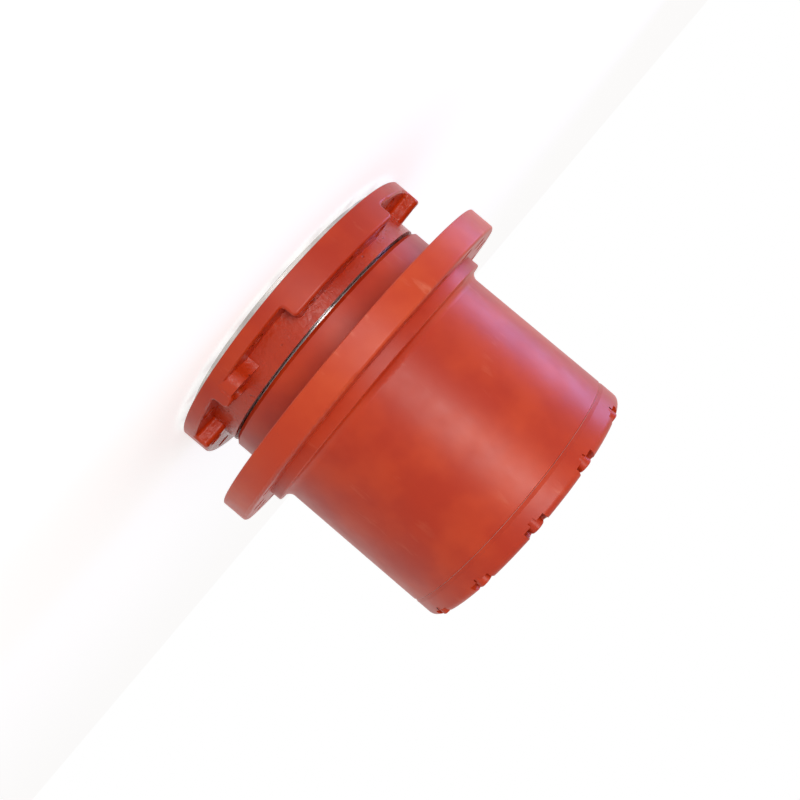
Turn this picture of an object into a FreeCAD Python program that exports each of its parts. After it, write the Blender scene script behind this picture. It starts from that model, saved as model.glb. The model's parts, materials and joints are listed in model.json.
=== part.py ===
import FreeCAD, Part
import Sketcher
import math
import os
from FreeCAD import Placement, Rotation, Vector

# Travel final drive of a 20 tonne crawler excavator: a two-stage planetary gearbox.
# The spindle bolts to the track frame and stands still. The drum turns round it on two
# taper roller bearings and carries the sprocket. +Z runs along the axis from the frame
# towards the end cover, and z = 0 is the face of the spindle's flange that meets the frame.

# Driving sizes: name, value in millimetres (or a count, or degrees), and what it is.
SIZES = [
    # spindle casting
    ("spigot_height", 8.3, "machined spigot beyond the frame face"),
    ("spigot_step", 23.6, "frame flange radius less spigot radius"),
    ("flange_width", 31.8, "frame flange, from the neck to the rim"),
    ("flange_thickness", 34, "frame flange"),
    ("flange_edge", 3, "rounded rim of the frame flange"),
    ("land_edge", 6, "rounded sides of the lands between the pockets"),
    ("pocket_floor", 16.4, "thickness left under the cast pockets"),
    ("left_pocket_sweep", 33.5, "cast pocket before the narrow land, degrees"),
    ("right_pocket_sweep", 30.5, "cast pocket after the narrow land, degrees"),
    ("land_sweep", 5.5, "narrow land between a pair of pockets, degrees"),
    ("land_position", -52.25, "direction of the first narrow land, degrees"),
    ("pocket_pairs", 3, "pairs of cast pockets"),
    ("pocket_corner", 4, "cast radius at the foot of a pocket wall"),
    ("ramp_length", 40, "sloping end of a left pocket, along the neck"),
    ("ramp_root", 7, "how far the sloping end starts inside the neck"),
    ("neck_wall", 8.8, "neck, outside the seal chamber"),
    ("neck_length", 14, "neck above the flange"),
    ("frame_holes", 18, "bolt holes to the track frame"),
    ("frame_hole_position", -54.5, "direction of the first bolt hole, degrees"),
    ("frame_hole_radius", 8.75, "clearance hole for M16"),
    ("motor_pilot_radius", 95, "pilot bore for the travel motor"),
    ("motor_pilot_depth", 10, "pilot bore"),
    ("motor_bolt_step", 30, "motor bolt circle outside the pilot bore"),
    ("motor_holes", 8, "tapped holes for the motor"),
    ("motor_hole_radius", 7, "tap drill for M16"),
    ("motor_hole_depth", 28, "tapped holes for the motor"),
    ("nose_radius", 105, "bearing seats on the spindle"),
    ("nose_wall", 45, "spindle nose"),
    ("shaft_passage_radius", 36, "hole through the end wall of the nose"),
    ("end_wall", 12, "end wall of the nose"),
    # face seal
    ("seal_gap", 3, "running gap between neck and drum"),
    ("seal_step", 8, "seal chamber outside the bearing seat"),
    ("seal_seat_step", 17, "seal seat outside the bearing bore"),
    ("seal_ring_gap", 5, "seal ring clear of its seat"),
    ("seal_ring_wall", 9, "body of a seal ring"),
    ("seal_lip_width", 5, "lip of a seal ring"),
    ("seal_lip_height", 4, "lip of a seal ring"),
    ("seal_slack", 1.2, "room under a seal's rubber ring"),
    ("seal_face_gap", 0.15, "oil film between the two lips, drawn wide"),
    ("seal_squeeze", 0.1, "rubber ring clear of its chamber"),
    # bearings
    ("bearing_offset", 20, "lower bearing above the neck's end"),
    ("bearing_section", 35, "bearing bore to bearing outside"),
    ("bearing_width", 28, "each bearing"),
    ("bearing_spacing", 14, "between the two bearings"),
    ("bearing_shoulder", 11, "spindle shoulder under the lower bearing"),
    ("shoulder_height", 10, "spindle shoulder under the lower bearing"),
    ("rib_step", 9, "drum rib between the bearings"),
    ("race_wall", 8, "inner race at its thin end"),
    ("race_rise", 6, "how far a raceway climbs over the bearing's width"),
    ("raceway_gap", 13, "between the raceways"),
    ("roller_radius", 6, "taper rollers, drawn straight"),
    ("roller_length", 20, "taper rollers"),
    ("roller_count", 16, "rollers in each bearing"),
    ("cage_wall", 3, "roller cage"),
    ("nut_thickness", 16, "bearing nut"),
    ("nut_width", 18, "bearing nut"),
    ("nut_slots", 6, "spanner slots in the nut"),
    ("thread_step", 1.5, "thread below the bearing seat"),
    ("nose_stub", 6, "spindle beyond the nut"),
    # drum
    ("hub_wall", 11, "drum outside the seal chamber"),
    ("hub_lead", 4, "lead chamfer at the open end"),
    ("hub_fillet", 3, "between hub and sprocket flange"),
    ("hub_length", 35, "from the open end to the sprocket flange"),
    ("sprocket_thickness", 32.6, "sprocket flange"),
    ("sprocket_width", 43, "seat for the sprocket"),
    ("sprocket_edge", 4, "rounded rim of the sprocket flange"),
    ("sprocket_holes", 20, "bolt holes for the sprocket"),
    ("sprocket_hole_radius", 8.75, "clearance hole for M16"),
    ("collar_step", 14, "sprocket pilot outside the drum"),
    ("collar_height", 13.9, "sprocket pilot"),
    ("collar_fillet", 9.5, "between pilot and drum"),
    ("drum_wall", 17, "drum over the ring gear"),
    ("drum_flare", 1.5, "drum is wider at the cover"),
    ("ring_shoulder", 3, "step that the ring gear stands on"),
    # gears
    ("gear_module", 3.5, "all gears"),
    ("pressure_angle", 20, "degrees"),
    ("tooth_thinning", 0.3, "each tooth thinner than half a pitch"),
    ("planets", 3, "planets in each stage"),
    ("input_sun_share", 5, "input sun teeth for each planet"),
    ("input_planet_share", 10, "input planet teeth for each planet"),
    ("output_planet_share", 9, "output planet teeth for each planet"),
    ("input_face", 26, "input planets"),
    ("output_face", 50, "output planets"),
    ("ring_wall", 10.4, "ring gear behind its teeth"),
    ("dowel_radius", 5, "dowels between ring gear and drum"),
    ("dowel_length", 30, "dowels between ring gear and drum"),
    ("dowels", 6, "dowels between ring gear and drum"),
    # carriers
    ("washer_thickness", 3, "thrust washers beside the planets"),
    ("washer_width", 9, "thrust washers"),
    ("side_gap", 0.3, "between pieces that run past each other"),
    ("ring_setback", 1.8, "ring gear below the carrier's plate"),
    ("sun_setback", 2.4, "output sun clear of the carrier's plates"),
    ("window_gap", 2.5, "carrier window round a planet"),
    ("carrier_gap", 6.4, "carrier inside the ring gear's teeth"),
    ("output_floor_thickness", 18, "output carrier plate on the spindle"),
    ("output_top_thickness", 12, "outer plate of the output carrier"),
    ("input_floor_thickness", 10, "inner plate of the input carrier"),
    ("input_top_thickness", 8, "outer plate of the input carrier"),
    ("stage_gap", 5.4, "between the two carriers"),
    ("output_pin_radius", 20, "planet pins"),
    ("input_pin_radius", 14, "planet pins"),
    ("bush_wall", 6, "bush between planet and pin"),
    ("pin_stub", 4, "planet pin beyond its carrier"),
    ("ring_section", 2, "snap rings"),
    ("running_gap", 0.05, "shaft in its bearing hole, at the radius"),
    ("screw_radius", 6, "M12 screws"),
    ("screw_head_radius", 9, "head of an M12 socket screw"),
    ("screw_head_height", 12, "head of an M12 socket screw"),
    ("screw_reach", 24, "how far a screw goes into its tapped hole"),
    ("carrier_screws", 6, "screws of the output carrier"),
    ("socket_flats", 10, "across the flats of the hexagon socket"),
    ("socket_depth", 6, "hexagon socket"),
    ("fit_gap", 0.02, "between pieces that are fixed together"),
    ("bevel", 1, "small bevels of machined edges"),
    ("wide_bevel", 2, "bevels of carriers and sleeves"),
    ("hole_play", 0.5, "screw in a clearance hole, at the radius"),
    ("drill_run", 2, "tapped hole deeper than its screw"),
    ("cut_room", 1, "how far a cut starts outside the metal"),
    # sun shaft and coupling
    ("shaft_radius", 17, "sun shaft"),
    ("sun_bore_gap", 2, "sun shaft inside the output sun"),
    ("coupling_wall", 12, "coupling sleeve outside the shaft"),
    ("sun_boss_wall", 10, "boss of the output sun outside its bore"),
    ("shaft_foot", 46, "lower end of the sun shaft"),
    ("coupling_length", 56, "coupling sleeve"),
    ("coupling_grip", 22, "length of shaft held in the coupling"),
    ("spline_count", 12, "splines in the coupling"),
    ("spline_depth", 2, "splines in the coupling"),
    ("shaft_nose_radius", 12, "end of the sun shaft under the thrust plate"),
    # end cover
    ("cover_gap", 8, "input carrier to cover"),
    ("cover_spigot", 12, "spigot of the cover in the drum"),
    ("cover_thickness", 30.4, "cover outside the drum"),
    ("cover_edge", 8, "rounded rim of the cover"),
    ("cover_bevel_height", 4.5, "bevel of the cover beside the drum"),
    ("cover_bevel_width", 1.6, "bevel of the cover beside the drum"),
    ("cover_plate", 25, "plate of the cover over its hollow"),
    ("cover_lip", 18, "spigot wall round the hollow"),
    ("cover_bolts", 12, "bolts of the cover"),
    ("cover_bolt_position", -87, "direction of the first bolt, degrees"),
    ("notch_width", 28.5, "notch in the cover's rim"),
    ("notch_depth", 8.9, "notch in the cover's rim"),
    ("spot_depth", 4.1, "spot face below the notch"),
    ("spot_gap", 1, "spot face round a bolt head"),
    ("thrust_radius", 22, "thrust plate in the cover"),
    ("thrust_thickness", 8, "thrust plate in the cover"),
    ("thrust_seat", 4, "depth of the thrust plate's seat"),
    ("boss_wall", 8, "boss round the thrust plate"),
    ("cover_seal_radius", 2, "rubber ring under the cover"),
    ("plugs", 3, "filler, level and drain plugs"),
    ("plug_circle", 95, "plugs in the cover"),
    ("plug_position", 30, "direction of the first plug, degrees"),
    ("plug_radius", 12, "thread of a plug"),
    ("plug_head_radius", 17, "head of a plug"),
    ("plug_head_height", 4, "head of a plug"),
    ("plug_length", 16, "thread of a plug"),
    ("plug_washer", 1.5, "sealing washer of a plug"),
    ("plug_flats", 14, "across the flats of a plug's hexagon socket"),
    ("plug_socket", 8, "depth of a plug's hexagon socket"),
]


class Measure:
    """A number together with its formula in the sheet, so that a feature can be bound to it."""

    def __init__(self, value, text):
        self.value = value
        self.text = text

    def joined(self, sign, other, value):
        return Measure(value, "(" + self.text + " " + sign + " " + measure(other).text + ")")

    def __add__(self, other):
        return self.joined("+", other, self.value + measure(other).value)

    def __sub__(self, other):
        return self.joined("-", other, self.value - measure(other).value)

    def __mul__(self, other):
        return self.joined("*", other, self.value * measure(other).value)

    def __truediv__(self, other):
        return self.joined("/", other, self.value / measure(other).value)

    def __neg__(self):
        return measure(0) - self


def measure(number):
    """Any plain number as a Measure."""
    if isinstance(number, Measure):
        return number
    return Measure(float(number), repr(number))


def fill_sheet(document):
    """The spreadsheet of driving sizes, and the same sizes as Measures by name."""
    sheet = document.addObject("Spreadsheet::Sheet", "Sizes")
    sizes = {}
    for row, (name, value, meaning) in enumerate(SIZES, start=1):
        sheet.set("A" + str(row), name)
        sheet.set("B" + str(row), str(value))
        sheet.set("C" + str(row), meaning)
        sheet.setAlias("B" + str(row), name)
        sizes[name] = Measure(float(value), "Sizes." + name)
    document.recompute()
    return sizes


document = FreeCAD.newDocument("final_drive")
size = fill_sheet(document)
nodes = []


# ---------------------------------------------------------------- heights along the axis
neck_top = size["flange_thickness"] + size["neck_length"]
hub_foot = neck_top + size["seal_gap"]
seal_plane = neck_top + size["seal_gap"] / 2
lower_bearing = neck_top + size["bearing_offset"]
upper_bearing = lower_bearing + size["bearing_width"] + size["bearing_spacing"]
bearings_top = upper_bearing + size["bearing_width"]
nut_top = bearings_top + size["nut_thickness"]
nose_top = nut_top + size["nose_stub"]
washer_room = (size["washer_thickness"] + size["side_gap"]) * 2
output_floor = nose_top + size["output_floor_thickness"]
output_ceiling = output_floor + size["output_face"] + washer_room
output_top = output_ceiling + size["output_top_thickness"]
input_foot = output_top + size["stage_gap"]
input_floor = input_foot + size["input_floor_thickness"]
input_ceiling = input_floor + size["input_face"] + washer_room
input_top = input_ceiling + size["input_top_thickness"]
spigot_foot = input_top + size["cover_gap"]
seam = spigot_foot + size["cover_spigot"]
cover_top = seam + size["cover_thickness"]
sprocket_back = hub_foot + size["hub_length"]
sprocket_face = sprocket_back + size["sprocket_thickness"]
collar_top = sprocket_face + size["collar_height"]
ring_foot = output_floor - size["ring_setback"]

# ---------------------------------------------------------------- radii from the axis
bearing_outside = size["nose_radius"] + size["bearing_section"]
seal_chamber = bearing_outside + size["seal_step"]
seal_seat = size["nose_radius"] + size["seal_seat_step"]
neck_radius = seal_chamber + size["neck_wall"]
hub_radius = seal_chamber + size["hub_wall"]
flange_radius = neck_radius + size["flange_width"]
ramp_rise = size["flange_width"] + size["ramp_root"]
ramp_radius = (ramp_rise + size["ramp_length"] * size["ramp_length"] / ramp_rise) / 4
spigot_radius = flange_radius - size["spigot_step"]
frame_hole_circle = neck_radius + size["flange_width"] / 2
input_sun_teeth = size["planets"] * size["input_sun_share"]
input_planet_teeth = size["planets"] * size["input_planet_share"]
output_planet_teeth = size["planets"] * size["output_planet_share"]
ring_teeth = input_sun_teeth + input_planet_teeth * 2
output_sun_teeth = ring_teeth - output_planet_teeth * 2
half_module = size["gear_module"] / 2
input_spread = (input_sun_teeth + input_planet_teeth) * half_module
output_spread = (output_sun_teeth + output_planet_teeth) * half_module
ring_pitch = ring_teeth * half_module
ADDENDUM = 1.0
DEDENDUM = 1.25
RING_ADDENDUM = 0.8
ring_root = ring_pitch + size["gear_module"] * DEDENDUM
ring_tip = ring_pitch - size["gear_module"] * RING_ADDENDUM
ring_outside = ring_root + size["ring_wall"]
carrier_radius = ring_tip - size["carrier_gap"]
drum_radius = ring_outside + size["drum_wall"]
drum_top_radius = drum_radius + size["drum_flare"]
cover_bolt_circle = (ring_outside + drum_top_radius) / 2
seal_inner = seal_seat + size["seal_ring_gap"]
seal_body = seal_inner + size["seal_ring_wall"]
seal_lip = seal_body + size["seal_lip_width"]
seal_rubber_radius = (seal_chamber - seal_body) / 2 - size["seal_squeeze"]
inner_raceway = size["nose_radius"] + size["race_wall"]
outer_raceway = inner_raceway + size["raceway_gap"]
sun_bore = size["shaft_radius"] + size["sun_bore_gap"]
sun_boss = sun_bore + size["sun_boss_wall"]
collar_radius = drum_radius + size["collar_step"]
sprocket_radius = collar_radius + size["sprocket_width"]
sprocket_hole_circle = collar_radius + size["sprocket_width"] / 2


# ---------------------------------------------------------------- helpers
def bind(target, path, amount):
    """Tie one property to its formula, where it has one."""
    target.setExpression(path, measure(amount).text)


def new_body(name):
    """An empty body, listed as one node of the part."""
    body = document.addObject("PartDesign::Body", name)
    body.Label = name
    nodes.append(body)
    return body


def origin_part(body, role):
    """One of the body's own planes or axes."""
    return next(piece for piece in body.Origin.OriginFeatures if piece.Role == role)


def new_sketch(body, name, plane, height=0, turn=0):
    """A sketch on one of the body's planes, lifted along its normal and turned about it."""
    sketch = body.newObject("Sketcher::SketchObject", body.Label + "_" + name)
    sketch.AttachmentSupport = [(origin_part(body, plane), "")]
    sketch.MapMode = "FlatFace"
    sketch.AttachmentOffset = Placement(Vector(0, 0, 0), Rotation(Vector(0, 0, 1), 10))
    bind(sketch, "AttachmentOffset.Base.z", height)
    bind(sketch, "AttachmentOffset.Rotation.Angle", turn)
    return sketch


def fix(sketch, name, kind, *where, amount):
    """A dimension in a sketch, bound to its formula."""
    amount = measure(amount)
    value = math.radians(amount.value) if kind == "Angle" else amount.value
    index = sketch.addConstraint(Sketcher.Constraint(kind, *where, value))
    if "Sizes" in amount.text:
        sketch.renameConstraint(index, name)
        sketch.setExpression("Constraints." + name, amount.text)


def arc_between(start, end, radius):
    """The short arc from start to end: it turns left for a positive radius, else right."""
    middle = (start + end) * 0.5
    chord = end - start
    rise = math.sqrt(max(radius * radius - chord.Length ** 2 / 4, 0))
    left = Vector(-chord.y, chord.x, 0).normalize()
    centre = middle + left * math.copysign(rise, radius)
    first, last = (start, end) if radius > 0 else (end, start)
    circle = Part.Circle(centre, Vector(0, 0, 1), abs(radius))
    angles = [math.atan2(point.y - centre.y, point.x - centre.x) for point in (first, last)]
    if angles[1] < angles[0]:
        angles[1] += 2 * math.pi
    return Part.ArcOfCircle(circle, angles[0], angles[1])


def draw_outline(sketch, corners):
    """A closed outline through (across, up) corners. A third entry is the radius of the arc
    that leaves the corner, positive where it turns left on its way to the next one."""
    spots = [Vector(measure(corner[0]).value, measure(corner[1]).value, 0) for corner in corners]
    base = sketch.GeometryCount
    ends = []
    for number, corner in enumerate(corners):
        start = spots[number]
        end = spots[(number + 1) % len(spots)]
        bow = measure(corner[2]) if len(corner) > 2 else None
        if bow is None:
            sketch.addGeometry(Part.LineSegment(start, end), False)
        else:
            sketch.addGeometry(arc_between(start, end, bow.value), False)
        ends.append((1, 2) if bow is None or bow.value > 0 else (2, 1))
    for number, corner in enumerate(corners):
        line = base + number
        after = (number + 1) % len(corners)
        joint = (line, ends[number][1], base + after, ends[after][0])
        sketch.addConstraint(Sketcher.Constraint("Coincident", *joint))
        spot = (-1, 1, line, ends[number][0])
        mark = "corner" + str(line)
        fix(sketch, mark + "_across", "DistanceX", *spot, amount=corner[0])
        fix(sketch, mark + "_up", "DistanceY", *spot, amount=corner[1])
        if len(corner) > 2:
            bow = measure(corner[2])
            size_of_bow = bow if bow.value > 0 else -bow
            fix(sketch, mark + "_radius", "Radius", line, amount=size_of_bow)


def draw_circle(sketch, across, radius):
    """A circle with its centre on the sketch's first axis."""
    centre = Vector(measure(across).value, 0, 0)
    circle = Part.Circle(centre, Vector(0, 0, 1), measure(radius).value)
    index = sketch.addGeometry(circle, False)
    fix(sketch, "circle_radius", "Radius", index, amount=radius)
    fix(sketch, "circle_across", "DistanceX", -1, 1, index, 3, amount=across)
    fix(sketch, "circle_up", "DistanceY", -1, 1, index, 3, amount=0)


def turned(body, name, corners, axis_at=None):
    """A turned solid: an outline in radius and height, revolved about the axis or about
    a line parallel to it."""
    sketch = new_sketch(body, name + "_profile", "XZ_Plane")
    reference = "V_Axis"
    if axis_at is not None:
        line = Part.LineSegment(Vector(axis_at.value, 0, 0), Vector(axis_at.value, 10, 0))
        index = sketch.addGeometry(line, True)
        sketch.addConstraint(Sketcher.Constraint("Vertical", index))
        fix(sketch, "axis_across", "DistanceX", -1, 1, index, 1, amount=axis_at)
        fix(sketch, "axis_foot", "DistanceY", -1, 1, index, 1, amount=0)
        fix(sketch, "axis_length", "Distance", index, amount=10)
        reference = "Axis0"
    draw_outline(sketch, corners)
    feature = body.newObject("PartDesign::Revolution", body.Label + "_" + name)
    feature.Profile = sketch
    feature.ReferenceAxis = (sketch, [reference])
    feature.Angle = 360
    document.recompute()
    return feature


def pocketed(body, name, sketch, depth):
    """A pocket cut down from its sketch."""
    feature = body.newObject("PartDesign::Pocket", body.Label + "_" + name)
    feature.Profile = sketch
    bind(feature, "Length", depth)
    document.recompute()
    return feature


def padded(body, name, sketch, length):
    """A pad raised from its sketch."""
    feature = body.newObject("PartDesign::Pad", body.Label + "_" + name)
    feature.Profile = sketch
    bind(feature, "Length", length)
    document.recompute()
    return feature


def repeated(body, name, features, count):
    """The features repeated evenly round the axis."""
    pattern = body.newObject("PartDesign::PolarPattern", body.Label + "_" + name)
    pattern.Originals = features
    pattern.Axis = (origin_part(body, "Z_Axis"), [""])
    pattern.Angle = 360
    bind(pattern, "Occurrences", count)
    body.Tip = pattern
    document.recompute()
    return pattern


def drilled(body, name, circle, radius, top, depth, count, turn=0):
    """Holes on a circle, from the height of their top downwards."""
    sketch = new_sketch(body, name + "_spot", "XY_Plane", top, turn)
    draw_circle(sketch, circle, radius)
    hole = pocketed(body, name + "_hole", sketch, depth)
    return repeated(body, name, [hole], count)


def sleeve(name, inner, outer, foot, top):
    """A plain ring about the axis."""
    body = new_body(name)
    turned(body, "ring", [(inner, foot), (outer, foot), (outer, top), (inner, top)])
    return body


def standing_rings(name, circle, inner, outer, foot, top, count):
    """Plain rings about axes that stand on a circle, at one or more heights."""
    body = new_body(name)
    rings = []
    for number, (low, high) in enumerate(zip(foot, top)):
        corners = [(circle + inner, low), (circle + outer, low)]
        corners += [(circle + outer, high), (circle + inner, high)]
        rings.append(turned(body, "ring" + str(number), corners, axis_at=circle))
    repeated(body, "set", rings, count)
    return body


def hexagon_socket(body, name, circle, flats, top, depth):
    """A hexagon socket cut down from the head of a screw that stands on a circle."""
    sketch = new_sketch(body, name + "_hexagon", "XY_Plane", top)
    half = measure(flats) / 2
    point = half * (2 / math.sqrt(3))
    side = point / 2
    corners = [(circle + point, 0), (circle + side, half), (circle - side, half)]
    corners += [(circle - point, 0), (circle - side, -half), (circle + side, -half)]
    draw_outline(sketch, corners)
    return pocketed(body, name, sketch, depth)


def shaped(name, shape):
    """A node whose shape is worked out from the sizes in the sheet."""
    feature = document.addObject("Part::Feature", name)
    feature.Label = name
    feature.Shape = shape
    nodes.append(feature)
    return feature


# ---------------------------------------------------------------- gear teeth
def involute(angle):
    return math.tan(angle) - angle


def polar(radius, angle):
    return Vector(radius * math.cos(angle), radius * math.sin(angle), 0)


def tooth_outline(teeth, addendum, dedendum, thinning):
    """The closed outline of a spur gear, with a tooth pointing along +X. Each flank is an arc
    through three points of the involute, with a straight foot below the base circle."""
    module = size["gear_module"].value
    pitch = module * teeth / 2
    base = pitch * math.cos(math.radians(size["pressure_angle"].value))
    tip = pitch + addendum * module
    root = pitch - dedendum * module
    half_at_pitch = (math.pi * module / 2 - thinning) / (2 * pitch)
    at_pitch = involute(math.acos(base / pitch))

    def half_angle(radius):
        return half_at_pitch + at_pitch - involute(math.acos(min(base / radius, 1)))

    foot = max(base, root)
    middle = (foot + tip) / 2
    flank = [(radius, half_angle(radius)) for radius in (foot, middle, tip)]
    edges = []
    for number in range(int(teeth)):
        centre = 2 * math.pi * number / teeth
        after = centre + 2 * math.pi / teeth
        rising = [polar(radius, centre - half) for radius, half in flank]
        falling = [polar(radius, centre + half) for radius, half in reversed(flank)]
        if root < base:
            start = polar(root, centre - flank[0][1])
            edges.append(Part.LineSegment(start, rising[0]).toShape())
        edges.append(Part.Arc(*rising).toShape())
        edges.append(Part.Arc(rising[2], polar(tip, centre), falling[0]).toShape())
        edges.append(Part.Arc(*falling).toShape())
        end = falling[2]
        if root < base:
            end = polar(root, centre + flank[0][1])
            edges.append(Part.LineSegment(falling[2], end).toShape())
        next_start = polar(min(root, foot), after - flank[0][1])
        edges.append(Part.Arc(end, polar(root, centre + math.pi / teeth), next_start).toShape())
    return Part.Wire(Part.__sortEdges__(edges))


def toothed_bar(teeth, height):
    """A spur gear without a bore, standing on z = 0."""
    outline = tooth_outline(teeth, ADDENDUM, DEDENDUM, size["tooth_thinning"].value)
    return Part.Face(outline).extrude(Vector(0, 0, height))


def planet_turn(direction, teeth):
    """How far a planet is turned so that its teeth meet those of the ring gear, which has
    a tooth along +X."""
    ring_phase = ring_teeth.value * direction
    return direction - (ring_phase - math.pi) / teeth


def sun_turn(sun_teeth, planet_teeth):
    """How far a sun is turned so that its teeth meet those of the planets."""
    return math.pi / sun_teeth if int(planet_teeth) % 2 else 0.0


def turned_solid(shape, angle, place):
    """A copy of a solid, turned about Z and put in its place."""
    copy = shape.copy()
    copy.Placement = Placement(place, Rotation(Vector(0, 0, 1), math.degrees(angle)))
    return copy


# ---------------------------------------------------------------- spindle
def make_spindle():
    """The casting that bolts to the track frame: flange with cast pockets, neck, chamber of
    the face seal, bearing seats and the end face that carries the output carrier."""
    body = new_body("spindle")
    face = -size["spigot_height"]
    bevel = size["bevel"]
    rim = flange_radius
    thick = size["flange_thickness"]
    seal_floor = seal_plane - size["seal_lip_height"] - size["seal_slack"] - seal_rubber_radius * 2
    shoulder = size["nose_radius"] + size["bearing_shoulder"]
    shoulder_foot = lower_bearing - size["shoulder_height"]
    thread = size["nose_radius"] - size["thread_step"]
    chamber = size["nose_radius"] - size["nose_wall"]
    passage = size["shaft_passage_radius"]
    wall_foot = nose_top - size["end_wall"]
    pilot = size["motor_pilot_radius"]
    pilot_top = face + size["motor_pilot_depth"]
    turned(body, "casting", [
        (pilot, face), (spigot_radius - bevel, face), (spigot_radius, face + bevel),
        (spigot_radius, 0), (rim - bevel, 0), (rim, bevel),
        (rim, thick), (neck_radius, thick),
        (neck_radius, neck_top), (seal_chamber, neck_top), (seal_chamber, seal_floor),
        (seal_seat, seal_floor), (seal_seat, shoulder_foot), (shoulder, shoulder_foot),
        (shoulder, lower_bearing), (size["nose_radius"], lower_bearing),
        (size["nose_radius"], bearings_top), (thread, bearings_top), (thread, nose_top),
        (passage, nose_top), (passage, wall_foot), (chamber, wall_foot),
        (chamber, pilot_top), (pilot, pilot_top),
    ])
    room = size["cut_room"]
    top = thick + room
    cuts = []
    for name, side in (("left_pocket", -1), ("right_pocket", 1)):
        sweep = size[name + "_sweep"]
        turn = size["land_position"] + (size["land_sweep"] + sweep) / 2 * side
        sketch = new_sketch(body, name + "_outline", "XY_Plane", top, turn)
        draw_sector(sketch, neck_radius, rim + room, sweep / 2)
        cuts.append(pocketed(body, name, sketch, top - size["pocket_floor"]))
    repeated(body, "pockets", cuts, size["pocket_pairs"])
    round_feet(body)
    round_tops(body)
    add_ramps(body)
    drilled(body, "frame_holes", frame_hole_circle, size["frame_hole_radius"],
            top, top + room, size["frame_holes"], size["frame_hole_position"])
    motor_circle = pilot + size["motor_bolt_step"]
    drilled(body, "motor_holes", motor_circle, size["motor_hole_radius"],
            face + size["motor_hole_depth"], size["motor_hole_depth"] + room,
            size["motor_holes"])
    drilled(body, "carrier_threads", output_spread, size["screw_radius"] + size["fit_gap"],
            nose_top + room, size["screw_reach"] + size["drill_run"] + room,
            size["carrier_screws"], measure(180) / size["carrier_screws"])
    return body


def draw_sector(sketch, inner, outer, half_sweep):
    """Part of a ring between two radii, centred on the sketch's first axis."""
    half = math.radians(half_sweep.value)
    flat = Part.Circle(Vector(), Vector(0, 0, 1), inner.value)
    wide = Part.Circle(Vector(), Vector(0, 0, 1), outer.value)
    sketch.addGeometry(Part.ArcOfCircle(flat, -half, half), False)
    sketch.addGeometry(Part.LineSegment(polar(inner.value, half), polar(outer.value, half)), False)
    sketch.addGeometry(Part.ArcOfCircle(wide, -half, half), False)
    sketch.addGeometry(Part.LineSegment(polar(outer.value, -half), polar(inner.value, -half)), False)
    joints = [(0, 3, -1, 1), (2, 3, -1, 1), (0, 2, 1, 1), (1, 2, 2, 2), (2, 1, 3, 1), (3, 2, 0, 1)]
    for joint in joints:
        sketch.addConstraint(Sketcher.Constraint("Coincident", *joint))
    sketch.addConstraint(Sketcher.Constraint("PointOnObject", -1, 1, 1))
    sketch.addConstraint(Sketcher.Constraint("PointOnObject", -1, 1, 3))
    sketch.addConstraint(Sketcher.Constraint("Symmetric", 0, 1, 0, 2, -1))
    fix(sketch, "inner_radius", "Radius", 0, amount=inner)
    fix(sketch, "outer_radius", "Radius", 2, amount=outer)
    fix(sketch, "half_sweep", "Angle", 1, amount=half_sweep)


def add_ramps(body):
    """The sloping ends of the left pockets: each leaves the neck in a hollow and meets the
    flange's rim in a swell of the same radius."""
    inner = neck_radius - size["ramp_root"]
    middle = (inner + flange_radius) / 2
    length = size["ramp_length"]
    turn = size["land_position"] - size["land_sweep"] / 2
    foot = size["pocket_floor"] - size["flange_edge"]
    sketch = new_sketch(body, "ramp_outline", "XY_Plane", foot, turn)
    draw_outline(sketch, [
        (inner, -length, -ramp_radius), (middle, -length / 2, ramp_radius), (flange_radius, 0),
        (middle, size["ramp_root"]), (inner, size["ramp_root"]),
    ])
    ramp = padded(body, "ramp", sketch, size["flange_thickness"] - size["land_edge"] / 2 - foot)
    repeated(body, "ramps", [ramp], size["pocket_pairs"])


def is_at(edge, height):
    """Whether an edge lies flat at one height."""
    return all(abs(vertex.Z - height.value) < 0.01 for vertex in edge.Vertexes)


def is_radial(edge):
    """Whether a straight edge points away from the axis."""
    start, end = (vertex.Point for vertex in edge.Vertexes)
    across = abs(start.x * end.y - start.y * end.x)
    return across < 1 and abs(start.z - end.z) < 0.01


def rounded(body, name, radius, wanted):
    """A fillet along the edges that a test picks out."""
    names = ["Edge" + str(number) for number, edge in enumerate(body.Shape.Edges, start=1)
             if wanted(edge)]
    before = body.Tip
    feature = body.newObject("PartDesign::Fillet", body.Label + "_" + name)
    feature.Base = (before, names)
    bind(feature, "Radius", radius)
    body.Tip = feature
    document.recompute()
    return feature


def round_tops(body):
    """Cast radii along the sides of the lands between the pockets, then along the rim."""
    top = size["flange_thickness"]

    def beside_land(edge):
        return isinstance(edge.Curve, Part.Line) and is_radial(edge) and is_at(edge, top)

    def on_rim(edge):
        round_edge = not isinstance(edge.Curve, Part.Line)
        return round_edge and is_at(edge, top) and is_on_rim(edge)

    rounded(body, "side_radii", size["land_edge"], beside_land)
    rounded(body, "rim_radii", size["flange_edge"], on_rim)


def is_on_rim(edge):
    """Whether both ends of an edge lie on the flange's rim."""
    spots = [vertex.Point for vertex in edge.Vertexes]
    return all(abs(math.hypot(spot.x, spot.y) - flange_radius.value) < 0.01 for spot in spots)


def round_feet(body):
    """Cast radii along the foot of each pocket wall that points away from the axis."""
    def at_foot(edge):
        straight = isinstance(edge.Curve, Part.Line)
        return straight and is_radial(edge) and is_at(edge, size["pocket_floor"])

    rounded(body, "foot_radii", size["pocket_corner"], at_foot)


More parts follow.
